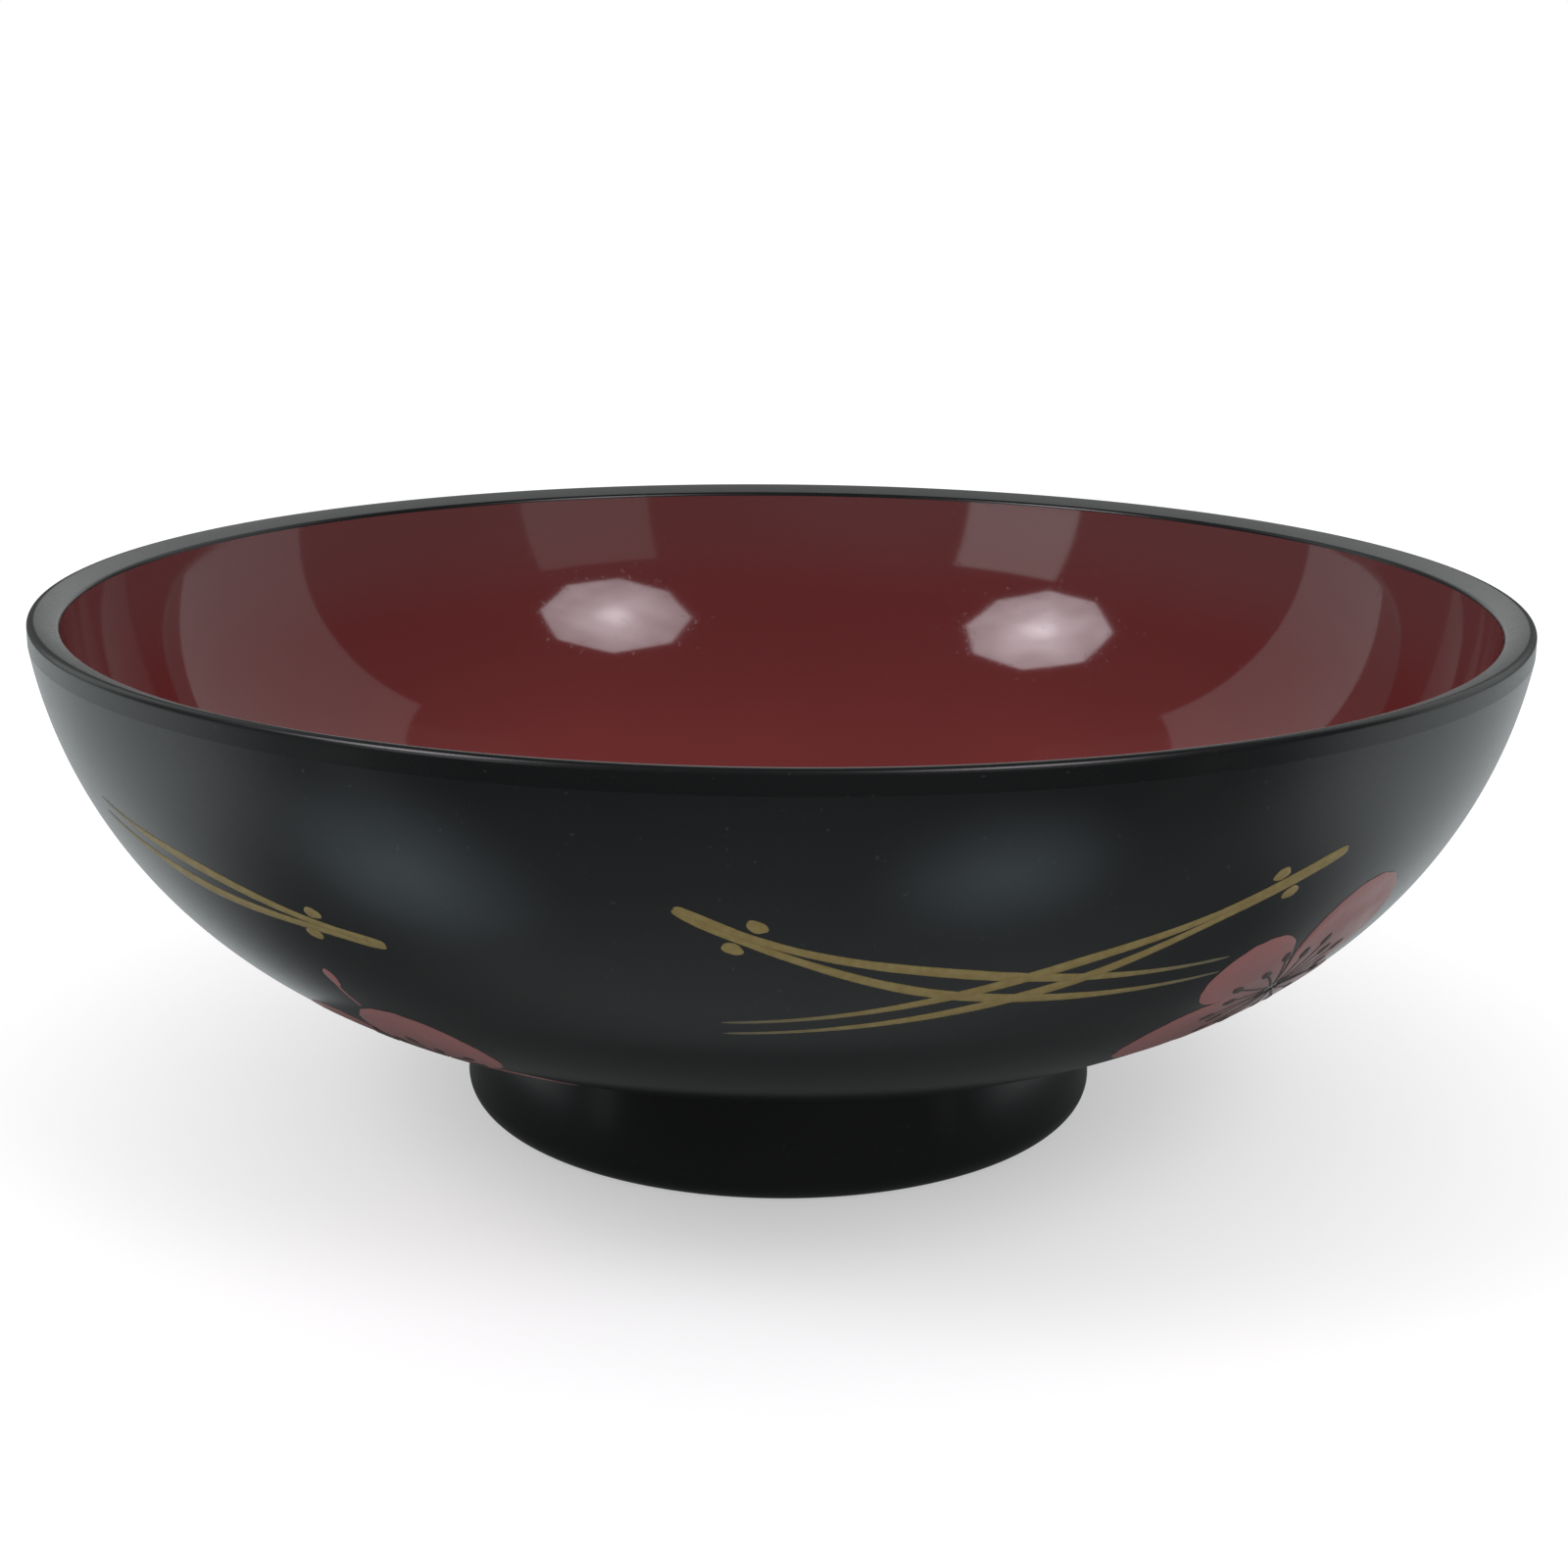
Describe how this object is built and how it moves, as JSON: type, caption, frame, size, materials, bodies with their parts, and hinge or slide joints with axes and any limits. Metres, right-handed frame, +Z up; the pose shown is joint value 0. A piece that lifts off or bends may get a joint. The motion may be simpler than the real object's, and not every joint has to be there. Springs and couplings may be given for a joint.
{
  "type": "lacquered serving bowl",
  "caption": "Wide footed lacquer serving bowl, red inside and black outside, with gold pine needles and plum blossoms painted on the wall.",
  "frame": {"origin": "centre of the bearing circle under the foot", "axes": "+Z up along the bowl's turning axis; -Y is the front, with the crossed pine sprigs"},
  "size_m": [0.24, 0.24, 0.087],
  "materials": {
    "wood": "turned wood, hidden under the lacquer",
    "red_lacquer": "glossy dark red lacquer",
    "black_lacquer": "satin gloss black lacquer",
    "gold_paint": "soft gold brushwork, slightly raised",
    "plum_paint": "dusky red brushwork",
    "stamen_paint": "dark brown brushwork"
  },
  "bodies": {
    "root": {"bowl_core": "wood", "foot_ring": "wood", "inner_red_coat": "red_lacquer", "outer_black_coat": "black_lacquer", "foot_black_coat": "black_lacquer", "well_black_coat": "black_lacquer", "pine_sprig_low_front": "gold_paint", "pine_sprig_high_front": "gold_paint", "pine_sprig_side_front": "gold_paint", "pine_sprig_low_back": "gold_paint", "pine_sprig_high_back": "gold_paint", "pine_sprig_side_back": "gold_paint", "plum_petals_right_front": "plum_paint", "plum_petals_left_front": "plum_paint", "plum_petals_right_back": "plum_paint", "plum_petals_left_back": "plum_paint", "plum_stamens_right_front": "stamen_paint", "plum_stamens_left_front": "stamen_paint", "plum_stamens_right_back": "stamen_paint", "plum_stamens_left_back": "stamen_paint", "plum_bud_front": "plum_paint", "plum_bud_back": "plum_paint"}
  },
  "joints": []
}
